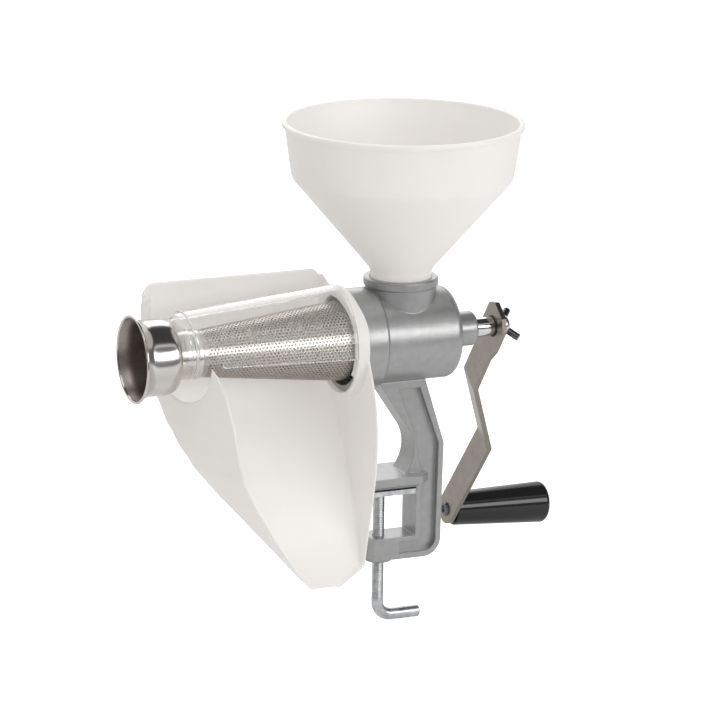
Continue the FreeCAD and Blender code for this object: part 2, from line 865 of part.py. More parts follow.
def put_on_pivot(piece):
    """Put a piece's own origin on the grip's axis, at the arm's outer face."""
    angle = math.radians(s.crank_angle.value)
    sine = Size("sin(Sizes.crank_angle)", math.sin(angle))
    cosine = Size("cos(Sizes.crank_angle)", math.cos(angle))
    across = s.hopper_offset + s.arm_face + s.crank_offset + s.bar_thickness - foot_run(0)
    put(piece, across, s.crank_radius * sine, s.axis_height - s.crank_radius * cosine)
    turn = FreeCAD.Rotation(FreeCAD.Vector(1, 0, 0), s.crank_angle.value)
    lean = FreeCAD.Rotation(FreeCAD.Vector(0, 1, 0), s.foot_lean.value)
    piece.Placement.Rotation = turn.multiply(lean)


def handle_grip():
    """Tapered grip with a rounded far end and a room for the nut."""
    body = new_body("handle_grip")
    start = s.grip_washer_thickness + s.grip_gap
    stop = start + s.grip_length
    bore = s.grip_bolt_radius + s.grip_bolt_clearance
    edge = s.grip_edge
    turned(
        body,
        (
            (start, bore),
            (start, s.grip_near_radius - 1.5, -1.501),
            (start + 1.5, s.grip_near_radius),
            (stop - edge, s.grip_far_radius, -edge - 0.001),
            (stop, s.grip_far_radius - edge),
            (stop, s.grip_nut_room),
            (stop - s.grip_nut_depth, s.grip_nut_room),
            (stop - s.grip_nut_depth, bore),
        ),
    )
    put_on_pivot(body)
    return body


def grip_bolt():
    """Bolt with a round socket head on the arm's inner face."""
    body = new_body("grip_bolt")
    seat = s.grip_washer_thickness + s.grip_gap + s.grip_length - s.grip_nut_depth
    stop = seat + s.grip_gap + s.grip_nut_height + 1
    face = -s.bar_thickness
    head = face - s.grip_head_height
    turned(
        body,
        (
            (head, 0),
            (head, s.grip_head_radius - 1),
            (head + 1, s.grip_head_radius),
            (face, s.grip_head_radius),
            (face, s.grip_bolt_radius),
            (stop - 0.8, s.grip_bolt_radius),
            (stop, s.grip_bolt_radius - 0.8),
            (stop, 0),
        ),
    )
    socket = sketch_on(body, "YZ_Plane", "head_socket", head - 1)
    corners = [60 * i for i in range(6)]
    ring = [
        (s.grip_head_socket * math.cos(math.radians(a)), s.grip_head_socket * math.sin(math.radians(a)))
        for a in corners
    ]
    outline(socket, ring)
    feature(body, "Pocket", socket, Length=s.grip_head_height * 0.6 + 1, Reversed=True)
    put_on_pivot(body)
    return body


def grip_washer():
    """Washer between the arm and the grip."""
    body = new_body("grip_washer")
    ring = sketch_on(body, "YZ_Plane", "grip_washer_outline")
    circle(ring, 0, 0, s.grip_washer_radius)
    circle(ring, 0, 0, s.grip_bolt_radius + s.grip_bolt_clearance)
    feature(body, "Pad", ring, Length=s.grip_washer_thickness)
    put_on_pivot(body)
    return body


def grip_nut():
    """Lock nut sunk in the grip's far end."""
    body = new_body("grip_nut")
    seat = s.grip_washer_thickness + s.grip_gap + s.grip_length - s.grip_nut_depth
    face = sketch_on(body, "YZ_Plane", "nut_outline", seat + s.grip_gap)
    corner = s.grip_nut_width / math.sqrt(3)
    ring = [
        (corner * math.cos(math.radians(a)), corner * math.sin(math.radians(a)))
        for a in range(0, 360, 60)
    ]
    outline(face, ring)
    circle(face, 0, 0, s.grip_bolt_radius + s.grip_bolt_clearance)
    feature(body, "Pad", face, Length=s.grip_nut_height)
    put_on_pivot(body)
    return body


def screen_radius(x):
    """Outer radius of the screen at a distance in front of the hopper."""
    start = s.screen_seat + s.flange_width
    slope = (s.screen_big_radius - s.screen_small_radius) / (s.screen_front - start)
    return s.screen_big_radius - slope * (as_size(x) - start)


def auger():
    """Tapered core with one long left-hand flight and a square socket.

    Each ring of corners is a cross-section of core and flight, turned on by
    a share of the pitch, and flat facets join it to the next.
    """
    back = float(s.auger_back)
    front = -float(s.auger_front)
    straight = -float(s.auger_core_straight)
    bore = float(s.barrel_radius - s.barrel_wall)
    pitch = float(s.auger_pitch)
    root = math.pi * float(s.flight_root) / pitch
    tip = math.pi * float(s.flight_tip) / pitch
    slimming = float(s.auger_core_front - s.auger_core_radius)
    core_sides = int(s.core_sides.value)

    def ring(x):
        turn = 2 * math.pi * (back - x) / pitch
        share = max(0, (x - straight) / (front - straight))
        core = float(s.auger_core_radius) + slimming * share
        reach = min(bore, float(screen_radius(-x) - s.screen_wall)) - float(s.auger_gap)
        sweep = 2 * math.pi - 2 * root
        corners = [(reach, -tip), (reach, tip)]
        corners += [(core, root + sweep * k / core_sides) for k in range(core_sides + 1)]
        return [
            FreeCAD.Vector(x, r * math.cos(turn + a), r * math.sin(turn + a)) for r, a in corners
        ]

    steps = round((back - front) / pitch * s.rings_per_turn.value)
    rings = [ring(back - (back - front) * i / steps) for i in range(steps + 1)]
    count = len(rings[0])
    faces = [Part.Face(Part.makePolygon(end + end[:1])) for end in (rings[0], rings[-1])]
    for here, there in zip(rings, rings[1:]):
        for k in range(count):
            after = (k + 1) % count
            for third in ((there[after], here[after]), (there[k], there[after])):
                corner = (here[k], *third)
                faces.append(Part.Face(Part.makePolygon([*corner, corner[0]])))
    solid = Part.makeSolid(Part.makeShell(faces))
    if solid.Volume < 0:
        solid.reverse()
    half = float(s.shaft_square / 2 + s.socket_clearance)
    deep = float(s.socket_end)
    socket = Part.makeBox(
        back - deep + 1, 2 * half, 2 * half, FreeCAD.Vector(deep, -half, -half)
    )
    socket.rotate(FreeCAD.Vector(0, 0, 0), FreeCAD.Vector(1, 0, 0), s.crank_angle.value)
    piece = new_piece("auger", solid.cut(socket))
    put_on_axis(piece)
    return piece


def auger_spring():
    """Coil spring between the shaft's square end and the socket's floor."""
    room = float(s.shaft_square_end - s.socket_end) - 2 * float(s.spring_wire) - 0.4
    turns = float(s.spring_turns)
    helix = Part.makeHelix(room / turns, room, float(s.spring_radius))
    centre = FreeCAD.Vector(float(s.spring_radius), 0, 0)
    corners = [60 * i for i in range(7)]
    wire = Part.makePolygon(
        [
            centre
            + FreeCAD.Vector(math.cos(math.radians(a)), 0, math.sin(math.radians(a)))
            * float(s.spring_wire)
            for a in corners
        ]
    )
    coil = Part.Wire(helix).makePipeShell([wire], True, True)
    coil.rotate(FreeCAD.Vector(0, 0, 0), FreeCAD.Vector(0, 1, 0), 90)
    coil.translate(
        FreeCAD.Vector(float(s.socket_end) + float(s.spring_wire) + 0.2, 0, 0)
    )
    piece = new_piece("auger_spring", Part.makeSolid(Part.makeShell(coil.Faces)))
    put_on_axis(piece)
    return piece


def strainer_screen():
    """Thin metal cone between the flange and the neck ring."""
    body = new_body("strainer_screen")
    start = s.screen_seat + s.flange_width
    turned(
        body,
        (
            (-start, s.screen_big_radius - s.screen_wall),
            (-start, s.screen_big_radius),
            (-s.screen_front, s.screen_small_radius),
            (-s.screen_front, s.screen_small_radius - s.screen_wall),
        ),
    )
    put_on_axis(body)
    return body


def screen_flange():
    """Ring at the screen's big end, seated in the nose."""
    body = new_body("screen_flange")
    inner = s.screen_big_radius - s.screen_wall
    turned(
        body,
        (
            (-s.screen_seat, inner),
            (-s.screen_seat, s.flange_radius),
            (-s.screen_seat - s.flange_width, s.flange_radius),
            (-s.screen_seat - s.flange_width, inner),
        ),
    )
    put_on_axis(body)
    return body


def screen_neck():
    """Ring that joins the screen's small end to the waste cup."""
    body = new_body("screen_neck")
    inner = s.screen_small_radius - s.screen_wall - 0.4
    end = s.screen_front + s.neck_ring_length
    turned(
        body,
        (
            (-s.screen_front, inner),
            (-s.screen_front, s.neck_ring_radius),
            (-end, s.neck_ring_radius),
            (-end, inner),
        ),
    )
    put_on_axis(body)
    return body


def waste_cup():
    """Flared outlet with a rolled rim."""
    body = new_body("waste_cup")
    neck = s.cup_neck_radius
    wall = s.cup_wall
    bead = s.cup_bead
    turned(
        body,
        (
            (-s.cup_start, neck - wall),
            (-s.cup_start, neck),
            (-s.cup_shoulder, neck, s.cup_shoulder_curve),
            (-s.cup_body_start, s.cup_body_radius),
            (-s.cup_flare, s.cup_body_radius),
            (-s.cup_face + bead, s.cup_rim_radius, bead / 2 + 0.001),
            (-s.cup_face, s.cup_rim_radius),
            (-s.cup_face, s.cup_rim_radius - wall),
            (-s.cup_flare - 0.6, s.cup_body_radius - wall),
            (-s.cup_body_start - 0.4, s.cup_body_radius - wall, wall - s.cup_shoulder_curve),
            (-s.cup_shoulder - wall, neck - wall),
        ),
    )
    put_on_axis(body)
    return body


def spline(points):
    """A smooth edge through points."""
    curve = Part.BSplineCurve()
    curve.interpolate([FreeCAD.Vector(*point) for point in points])
    return curve.toShape()


def bend(start, stop, centre):
    """A quarter arc in a front view, from its ends and its centre (across, up)."""
    middle = FreeCAD.Vector(centre[0], start[1], centre[1])
    begin, end = FreeCAD.Vector(*start), FreeCAD.Vector(*stop)
    out = (begin - middle) + (end - middle)
    out.normalize()
    return Part.Arc(begin, middle + out * (begin - middle).Length, end).toShape()


def chute_block(wall, open_by):
    """The chute's form: a side view carried across, cut by a front view.

    The walls are drawn in by wall, and the open sides let out by open_by.
    """
    right = -float(s.ring_back) - wall
    beyond = 60
    left = -float(s.chute_left) - beyond
    top = float(s.chute_top)
    tip = -float(s.chute_tip)
    back = [
        (left, float(s.chute_back) - wall, top),
        (left, float(s.chute_bend_back) - wall, -float(s.chute_bend_height)),
        (left, -float(s.chute_floor_front) - wall, -float(s.chute_floor_height)),
        (left, -float(s.chute_tip_front) - wall, tip),
    ]
    rim = float(s.nose_radius + s.ring_gap + s.ring_wall)
    if open_by:
        far = -float(s.chute_belly) - open_by
        ends = [
            (left, back[3][1], tip - open_by),
            (left, far, tip - open_by),
            (left, far, top + open_by),
            (left, back[0][1], top + open_by),
        ]
        path = [back[3]] + ends + [back[0]]
        edges = [
            Part.LineSegment(FreeCAD.Vector(*a), FreeCAD.Vector(*b)).toShape()
            for a, b in zip(path, path[1:])
        ]
    else:
        front = [
            (left, back[3][1] - float(s.chute_lip), tip),
            (left, -float(s.chute_lip_front), -float(s.chute_lip_height)),
            (left, -float(s.chute_belly), -float(s.chute_belly_height)),
            (left, -rim, -float(s.chute_rim_drop)),
        ]
        path = [front[3], (left, 10, 34), back[0]]
        edges = [
            Part.LineSegment(FreeCAD.Vector(*a), FreeCAD.Vector(*b)).toShape()
            for a, b in [(back[3], front[0])] + list(zip(path, path[1:]))
        ]
        edges.append(spline(front))
    side = Part.Wire(Part.sortEdges([spline(back)] + edges)[0])
    across = Part.Face(side).extrude(FreeCAD.Vector(right - left, 0, 0))
    slant = float(s.chute_slant)
    deep = 300
    start = deep / 2
    edge = [
        (-float(s.chute_knee) + wall, -start, -float(s.chute_knee_height)),
        (-float(s.chute_waist) + wall, -start, -float(s.chute_waist_height)),
        (-float(s.chute_flank) + wall, -start, -float(s.chute_flank_height)),
        (-float(s.chute_hip) + wall, -start, -float(s.chute_hip_height)),
        (-float(s.chute_spout) + wall, -start, tip - 3),
    ]
    up = top + 0.5 + open_by
    low = tip - 3 - open_by
    lip = -float(s.chute_spout_right) - 0.7 * wall
    heel = -float(s.chute_heel_height) + 1.4 * wall
    left_top = -float(s.chute_left) + wall
    corner = float(s.chute_corner)
    right_top = right + slant * float(s.chute_back)
    path = [
        edge[-1],
        (edge[-1][0], -start, low),
        (lip, -start, low),
        (lip, -start, tip - 3 + wall),
        (-float(s.ring_front), -start, heel),
        (beyond, -start, heel),
    ]
    if open_by:
        path += [(beyond, -start, up), (left_top, -start, up), edge[0]]
        turns = []
    else:
        path += [(beyond, -start, up - corner), (right_top, -start, up - corner)]
        turns = [
            bend(path[-1], (right_top - corner, -start, up), (right_top - corner, up - corner)),
            bend((left_top + corner, -start, up), (left_top, -start, up - corner),
                 (left_top + corner, up - corner)),
        ]
        top_line = ((right_top - corner, -start, up), (left_top + corner, -start, up))
        turns.append(Part.LineSegment(*(FreeCAD.Vector(*q) for q in top_line)).toShape())
        last = ((left_top, -start, up - corner), edge[0])
        turns.append(Part.LineSegment(*(FreeCAD.Vector(*q) for q in last)).toShape())
    lines = turns + [
        Part.LineSegment(FreeCAD.Vector(*a), FreeCAD.Vector(*b)).toShape()
        for a, b in zip(path, path[1:])
        if a != b
    ]
    front = Part.Wire(Part.sortEdges([spline(edge)] + lines)[0])
    front.translate(FreeCAD.Vector(slant * start, 0, 0))
    down = Part.Face(front).extrude(FreeCAD.Vector(-slant * deep, deep, 0))
    return across.common(down)


def juice_chute():
    """Moulded scoop hung on the nose by a ring, with a spout at its foot."""
    wall = float(s.chute_wall)
    open_by = 40
    shell = chute_block(0, 0).cut(chute_block(wall, open_by))
    inner = float(s.nose_radius + s.ring_gap)
    outer = inner + float(s.ring_wall)
    back = -float(s.ring_back)
    front = -float(s.ring_front)
    along = FreeCAD.Vector(-1, 0, 0)
    ring = Part.makeCylinder(outer, back - front, FreeCAD.Vector(back, 0, 0), along)
    lip = float(s.ring_lip)
    behind = FreeCAD.Vector(back + 1, 0, 0)
    hole = Part.makeCylinder(inner, back - front - lip + 1, behind, along)
    bore = Part.makeCylinder(float(s.ring_lip_radius), back - front + 2, behind, along)
    ahead = FreeCAD.Vector(front + lip, 0, 0)
    gap = Part.makeCylinder(inner, lip + 1, ahead, along)
    below = FreeCAD.Vector(front - 2, -inner, -2 * inner - float(s.ring_lip_drop))
    gap = gap.common(Part.makeBox(lip + 4, 2 * inner, 2 * inner, below))
    notch = float(s.notch_radius)
    length = 3 * open_by
    reach = FreeCAD.Vector(-float(s.chute_left) + open_by, 0, 0)
    round_cut = Part.makeCylinder(notch, length, reach, along)
    corner = reach + FreeCAD.Vector(-length, -notch, 0)
    slot = Part.makeBox(length, 2 * notch, 2 * open_by, corner)
    shape = shell.fuse(ring.cut(gap)).cut(hole).cut(bore).cut(round_cut).cut(slot)
    piece = new_piece("juice_chute", shape.removeSplitter())
    put_on_axis(piece)
    return piece


def splash_shield():
    """Clear half-cone over the screen, with a domed end at the cup."""
    body = new_body("splash_shield")
    seat = s.nose_radius + s.ring_gap + s.ring_wall + s.shield_gap
    wall = s.shield_wall
    big = seat + s.shield_rise + wall
    small = s.shield_left_radius
    dome = s.shield_dome
    hole = s.neck_ring_radius + s.shield_gap + 0.5
    left = s.shield_left + dome
    turned(
        body,
        (
            (-s.shield_right, -seat),
            (-s.shield_right, -big),
            (-s.shield_left, -small, -dome - 0.001),
            (-left, -small + dome),
            (-left, -hole),
            (-left + wall, -hole),
            (-left + wall, -small + dome, dome - wall + 0.001),
            (-s.shield_left, -small + wall),
            (-s.shield_right - 2, -big + wall),
            (-s.shield_right - 2, -seat),
        ),
        angle=s.shield_angle,
        role="XY_Plane",
    ).Reversed = True
    put_on_axis(body)
    return body


def hopper():
    """Round bowl on a cone, with a neck that drops into the collar."""
    body = new_body("hopper")
    wall = s.hopper_wall
    neck = s.hopper_neck_radius
    rim = s.hopper_radius - s.hopper_bead
    top = s.hopper_top
    turned(
        body,
        (
            (neck - wall, s.collar_ledge),
            (neck, s.collar_ledge),
            (neck, s.hopper_cone_bottom),
            (s.hopper_cone_radius, s.hopper_cone_top),
            (rim, top - s.hopper_bead_height),
            (s.hopper_radius - 0.6, top - s.hopper_bead_height),
            (s.hopper_radius, top - s.hopper_bead_height + 0.6),
            (s.hopper_radius, top - 1.2),
            (s.hopper_radius - 1.2, top),
            (rim - wall, top),
            (s.hopper_cone_radius - wall, s.hopper_cone_top + wall / 3),
            (neck - wall, s.hopper_cone_bottom + wall / 2),
        ),
        axis="V_Axis",
    )
    put_on_axis(body)
    return body


def check_and_write(pieces):
    """Refuse a failed or empty piece, then write one file for each."""
    doc.recompute()
    for item in doc.Objects:
        if "Invalid" in item.State or "Error" in item.State:
            raise RuntimeError(f"{item.Label} is {item.State}")
    for piece in pieces:
        if piece.Shape.isNull() or not piece.Shape.isValid() or not piece.Shape.Solids:
            raise RuntimeError(f"{piece.Label} has no valid solid")
    os.makedirs("parts", exist_ok=True)
    for piece in pieces:
        piece.Shape.exportStep(f"parts/{piece.Label}.step")
        print(piece.Label, round(piece.Shape.Volume), len(piece.Shape.Solids))


PIECES = (
    cast_body,
    jaw_pad,
    clamp_screw,
    clamp_plate,
    drive_shaft,
    rear_bushing,
    shaft_seal,
    crank_arm,
    lock_washer,
    wing_bolt,
    grip_bolt,
    grip_washer,
    grip_nut,
    handle_grip,
    auger,
    auger_spring,
    strainer_screen,
    screen_flange,
    screen_neck,
    waste_cup,
    juice_chute,
    splash_shield,
    hopper,
)

check_and_write([make() for make in PIECES])
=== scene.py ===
import json
import math

import bmesh
import bpy
from mathutils import Matrix, Vector

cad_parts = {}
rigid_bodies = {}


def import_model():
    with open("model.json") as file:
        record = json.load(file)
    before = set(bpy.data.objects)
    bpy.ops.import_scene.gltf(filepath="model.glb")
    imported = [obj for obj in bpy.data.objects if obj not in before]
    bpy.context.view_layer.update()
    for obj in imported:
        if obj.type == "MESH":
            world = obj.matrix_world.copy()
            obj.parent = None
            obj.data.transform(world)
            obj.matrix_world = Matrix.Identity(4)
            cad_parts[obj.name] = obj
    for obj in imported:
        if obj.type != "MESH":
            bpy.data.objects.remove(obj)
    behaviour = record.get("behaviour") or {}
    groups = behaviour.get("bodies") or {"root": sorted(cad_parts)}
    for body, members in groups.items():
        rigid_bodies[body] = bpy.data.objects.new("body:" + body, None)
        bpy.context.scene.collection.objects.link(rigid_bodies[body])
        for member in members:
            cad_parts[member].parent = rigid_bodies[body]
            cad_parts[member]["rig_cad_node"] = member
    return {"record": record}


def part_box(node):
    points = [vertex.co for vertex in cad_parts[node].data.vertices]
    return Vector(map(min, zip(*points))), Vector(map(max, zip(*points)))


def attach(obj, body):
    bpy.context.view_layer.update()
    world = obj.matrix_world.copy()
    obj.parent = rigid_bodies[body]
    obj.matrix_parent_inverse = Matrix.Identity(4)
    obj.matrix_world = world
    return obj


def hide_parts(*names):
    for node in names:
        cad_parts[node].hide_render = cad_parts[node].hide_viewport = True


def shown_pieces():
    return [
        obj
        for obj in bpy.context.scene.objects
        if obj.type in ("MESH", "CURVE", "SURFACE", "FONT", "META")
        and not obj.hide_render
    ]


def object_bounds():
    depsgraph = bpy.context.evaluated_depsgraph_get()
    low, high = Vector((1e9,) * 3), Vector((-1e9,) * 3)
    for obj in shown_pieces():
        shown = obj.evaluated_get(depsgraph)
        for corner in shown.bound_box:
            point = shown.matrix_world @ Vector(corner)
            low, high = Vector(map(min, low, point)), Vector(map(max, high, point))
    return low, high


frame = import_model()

cad_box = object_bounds()
MM = 0.001
# The strainer's axis below the hopper's centre line, in metres.
AXIS = Vector((0.0165, 0.0, 0.1255))
VIEW = {"turn": 23.873, "lift": 14.614, "roll": 0.864, "lens": 225.0, "distance": 3.7150}
VIEW_AIM = Vector((-0.01910, 0.0, 0.1070))


def camera():
    """The photograph's view: a long lens from the front left, a little above."""
    turn, lift, roll = (math.radians(VIEW[name]) for name in ("turn", "lift", "roll"))
    away = Vector(
        (-math.sin(turn) * math.cos(lift), -math.cos(turn) * math.cos(lift), math.sin(lift))
    )
    data = bpy.data.cameras.new("camera")
    data.lens = VIEW["lens"]
    data.sensor_width = 36.0
    data.clip_start = 0.1
    data.clip_end = 50.0
    cam = bpy.data.objects.new("camera", data)
    bpy.context.scene.collection.objects.link(cam)
    right = (-away).cross(Vector((0, 0, 1))).normalized()
    up = right.cross(-away)
    across = math.cos(roll) * right + math.sin(roll) * up
    upright = -math.sin(roll) * right + math.cos(roll) * up
    place = VIEW_AIM + away * VIEW["distance"]
    turned = Matrix((across, upright, away)).transposed().to_4x4()
    cam.matrix_world = Matrix.Translation(place) @ turned
    bpy.context.scene.camera = cam


camera()


class Stuff:
    """Short names for building a node material."""

    def __init__(self, name, color, rough, metal=0.0, **more):
        self.mat = bpy.data.materials.new(name)
        self.mat.use_nodes = True
        self.tree = self.mat.node_tree
        self.shader = self.tree.nodes["Principled BSDF"]
        self.put(self.shader, "Base Color", (*color, 1.0))
        self.put(self.shader, "Roughness", rough)
        self.put(self.shader, "Metallic", metal)
        for key, value in more.items():
            self.put(self.shader, key.replace("_", " "), value)
        self.place = self.node("ShaderNodeTexCoord").outputs["Object"]

    def node(self, kind, **settings):
        made = self.tree.nodes.new(kind)
        for key, value in settings.items():
            setattr(made, key, value)
        return made

    def put(self, node, socket, value):
        target = node.inputs[socket]
        if isinstance(value, bpy.types.NodeSocket):
            self.tree.links.new(value, target)
        else:
            target.default_value = value

    def noise(self, scale, detail=3.0, rough=0.5, stretch=None):
        made = self.node("ShaderNodeTexNoise")
        self.put(made, "Scale", scale)
        self.put(made, "Detail", detail)
        self.put(made, "Roughness", rough)
        self.put(made, "Vector", self.stretched(stretch))
        return made.outputs["Fac"]

    def stretched(self, stretch):
        if stretch is None:
            return self.place
        made = self.node("ShaderNodeMapping")
        self.put(made, "Vector", self.place)
        self.put(made, "Scale", stretch)
        return made.outputs["Vector"]

    def ramp(self, value, *stops):
        made = self.node("ShaderNodeValToRGB")
        self.put(made, "Fac", value)
        band = made.color_ramp
        while len(band.elements) < len(stops):
            band.elements.new(0.5)
        for element, (place, color) in zip(band.elements, stops):
            element.position = place
            element.color = (*color, 1.0) if len(color) == 3 else color
        return made.outputs["Color"]

    def levels(self, value, low, high):
        made = self.node("ShaderNodeMapRange")
        self.put(made, "Value", value)
        self.put(made, "To Min", low)
        self.put(made, "To Max", high)
        return made.outputs["Result"]

    def bump(self, height, strength, depth):
        made = self.node("ShaderNodeBump")
        self.put(made, "Height", height)
        self.put(made, "Strength", strength)
        self.put(made, "Distance", depth)
        if self.shader.inputs["Normal"].is_linked:
            old = self.shader.inputs["Normal"].links[0].from_socket
            self.put(made, "Normal", old)
        self.put(self.shader, "Normal", made.outputs["Normal"])

    def soften(self, radius):
        """Round the look of sharp edges."""
        made = self.node("ShaderNodeBevel", samples=6)
        self.put(made, "Radius", radius)
        self.put(self.shader, "Normal", made.outputs["Normal"])

    def color(self, value, *stops):
        self.put(self.shader, "Base Color", self.ramp(value, *stops))

    def rough(self, value, low, high):
        self.put(self.shader, "Roughness", self.levels(value, low, high))


def enamel():
    """Silver-grey satin enamel over a rough casting."""
    m = Stuff("cast_enamel", (0.34, 0.345, 0.34), 0.34, 0.6)
    m.soften(0.0012)
    mottle = m.noise(160.0, 4.0, 0.55)
    dark, middle, pale = (0.315, 0.32, 0.315), (0.34, 0.345, 0.34), (0.365, 0.37, 0.365)
    m.color(mottle, (0.3, dark), (0.55, middle), (0.75, pale))
    m.rough(m.noise(60.0, 3.0, 0.5), 0.29, 0.38)
    m.bump(m.noise(700.0, 3.0, 0.55), 0.22, 0.0004)
    m.bump(m.noise(120.0, 2.0, 0.4), 0.18, 0.0010)
    return m.mat


def milky(name, color, through, rough, glow=0.0):
    """White moulding that lets some light through, with an even emission as painted light that
    lifts its shade.
    """
    m = Stuff(name, color, rough, Transmission_Weight=through, IOR=1.45)
    m.put(m.shader, "Subsurface Weight", 0.4)
    m.put(m.shader, "Subsurface Radius", (0.012, 0.011, 0.010))
    m.put(m.shader, "Subsurface Scale", 1.0)
    # Painted light: the emission makes the moulding glow evenly, brightening its shaded parts.
    m.put(m.shader, "Emission Color", (1.0, 0.965, 0.935, 1.0))
    m.put(m.shader, "Emission Strength", glow)
    cloud = m.noise(18.0, 3.0, 0.5)
    pale = tuple(min(1.0, 1.04 * c) for c in color)
    m.color(cloud, (0.35, color), (0.65, pale))
    m.rough(m.noise(60.0, 3.0, 0.5), rough - 0.05, rough + 0.06)
    m.bump(m.noise(900.0, 2.0, 0.5), 0.05, 0.0003)
    return m.mat


def metal(
    name, color, rough, spread=0.08, stretch=(1.0, 1.0, 1.0), scale=300.0, strength=0.1, shift=0.1
):
    """Bare metal with a fine grain, drawn out where it was brushed."""
    m = Stuff(name, color, rough, 1.0)
    grain = m.noise(scale, 3.0, 0.6, stretch)
    dark = tuple((1.0 - shift) * c for c in color)
    pale = tuple(min(1.0, (1.0 + shift) * c) for c in color)
    m.color(grain, (0.3, dark), (0.7, pale))
    m.rough(grain, max(0.02, rough - spread), rough + spread)
    m.bump(grain, strength, 0.0002)
    return m.mat


def clear():
    """Clear moulding, a little frosted."""
    m = Stuff("clear_shield", (0.98, 0.98, 0.975), 0.02, Transmission_Weight=0.96, IOR=1.30)
    m.rough(m.noise(60.0, 2.0), 0.0, 0.015)
    return m.mat


def plastic(name, color, rough, pale=1.1, grain=0.04):
    """Opaque moulding with a faint cloud in its colour."""
    m = Stuff(name, color, rough)
    cloud = m.noise(200.0, 3.0)
    m.color(cloud, (0.3, color), (0.7, tuple(min(1.0, pale * c) for c in color)))
    m.rough(cloud, rough - 0.03, rough + 0.05)
    m.bump(m.noise(1500.0, 2.0), grain, 0.0003)
    return m.mat


looks = {
    "cast_paint": enamel(),
    "chrome_steel": metal("bright_plate", (0.66, 0.66, 0.66), 0.13, 0.05, scale=500.0),
    "zinc_steel": metal(
        "zinc_plate", (0.53, 0.54, 0.55), 0.36, 0.14, scale=160.0, strength=0.4, shift=0.25
    ),
    "arm_steel": metal("satin_bar", (0.30, 0.268, 0.24), 0.34, 0.07, (1.0, 0.12, 0.12), 900.0),
    "sheet_steel": metal(
        "polished_sheet", (0.60, 0.575, 0.545), 0.19, 0.04, (0.2, 1.0, 1.0), 120.0, 0.01, 0.03
    ),
    "perforated_steel": metal(
        "screen_sheet", (0.42, 0.385, 0.35), 0.28, 0.02, strength=0.01, shift=0.04
    ),
    # The milky moulding glows at 0.20: painted light that lifts the hopper's and chute's shade.
    "milky_plastic": milky("milky_moulding", (0.57, 0.557, 0.543), 0.25, 0.42, 0.20),
    "clear_plastic": clear(),
    "white_plastic": plastic("white_moulding", (0.82, 0.82, 0.80), 0.35, 1.05),
    "black_plastic": plastic("black_moulding", (0.012, 0.012, 0.013), 0.13, 1.15, 0.01),
    "rubber_black": plastic("black_rubber", (0.02, 0.02, 0.02), 0.55, 1.5),
}
dark_plate = metal("dark_plate", (0.16, 0.16, 0.17), 0.28, 0.08, scale=500.0)
# The cup's inside is a rougher, darker and browner copy of the polished sheet: satin finish, with
# painted shade inside the cup.
satin_shaded_inside = metal("satin_shaded_inside", (0.36, 0.31, 0.29), 0.45, 0.05, (0.2, 1.0, 1.0), 400.0)
slot_of = {sub["node"]: sub["material_slot"] for sub in frame["record"]["subparts"]}
nodes = {o["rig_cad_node"]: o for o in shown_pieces() if "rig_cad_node" in o}


def dress(obj, look):
    """Give an object one material."""
    obj.data.materials.clear()
    obj.data.materials.append(look)


for name, obj in nodes.items():
    dress(obj, looks[slot_of[name]])


def piece(name, shape, body, slot, stands_for=(), turn=35.0, thick=0.0, look=None):
    """A finished mesh piece: shape is (points in metres, faces), turn the angle of a sharp edge."""
    mesh = bpy.data.meshes.new(name)
    mesh.from_pydata(shape[0], [], shape[1])
    work = bmesh.new()
    work.from_mesh(mesh)
    bmesh.ops.remove_doubles(work, verts=work.verts, dist=1e-7)
    bmesh.ops.recalc_face_normals(work, faces=work.faces)
    work.to_mesh(mesh)
    work.free()
    mesh.shade_smooth()
    mesh.set_sharp_from_angle(angle=math.radians(turn))
    obj = bpy.data.objects.new(name, mesh)
    bpy.context.scene.collection.objects.link(obj)
    if thick:
        made = obj.modifiers.new("wall", "SOLIDIFY")
        made.thickness = abs(thick) * MM
        made.offset = math.copysign(1.0, thick)
        made.use_even_offset = True
        made = obj.modifiers.new("edges", "EDGE_SPLIT")
        made.split_angle = math.radians(turn)
    dress(obj, look or looks[slot])
    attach(obj, body)
    if stands_for:
        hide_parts(*stands_for)
    return obj


def along(x, r, a):
    """A point by its place on the strainer's axis, its radius and its angle, 0 in front."""
    return AXIS + MM * Vector((x, -r * math.cos(a), r * math.sin(a)))


def above(z, r, a):
    """A point by its height over the strainer's axis and its radius from the hopper's."""
    return AXIS + MM * Vector((r * math.cos(a), r * math.sin(a), z))


def soft(*corners, steps=6):
    """A profile whose corners (x, r, rounding) are turned in short steps."""
    path = []
    count = len(corners)
    for i, corner in enumerate(corners):
        here = Vector(corner[:2])
        if len(corner) < 3:
            path.append(tuple(here))
            continue
        before = Vector(corners[i - 1][:2]) - here
        after = Vector(corners[(i + 1) % count][:2]) - here
        start = here + before.normalized() * min(corner[2], before.length / 2.01)
        stop = here + after.normalized() * min(corner[2], after.length / 2.01)
        for k in range(steps + 1):
            f = k / steps
            path.append(tuple((1 - f) ** 2 * start + 2 * f * (1 - f) * here + f * f * stop))
    return path


def lathe(profile, place, steps=160, start=0.0, sweep=360.0, closed=True):
    """A profile turned about an axis: a full ring, or a part of one with end faces."""
    full = sweep >= 360.0
    rows = steps if full else steps + 1
    count = len(profile)
    points = []
    for i in range(rows):
        a = math.radians(start + sweep * i / steps)
        points += [place(x, r, a) for x, r in profile]
    faces = []
    for i in range(steps):
        low, high = i * count, (i + 1) % rows * count
        for k in range(count if closed else count - 1):
            after = (k + 1) % count
            faces.append((low + k, high + k, high + after, low + after))
    if closed and not full:
        faces.append(tuple(range(count)))
        faces.append(tuple(range(steps * count, steps * count + count)))
    return points, faces


def tube(rings, sides):
    """The faces of a closed tube, from rings of points."""
    faces = []
    for i in range(rings - 1):
        low, high = i * sides, (i + 1) * sides
        for k in range(sides):
            after = (k + 1) % sides
            faces.append((low + k, low + after, high + after, high + k))
    faces.append(tuple(range(sides)))
    faces.append(tuple(range((rings - 1) * sides, rings * sides)))
    return faces


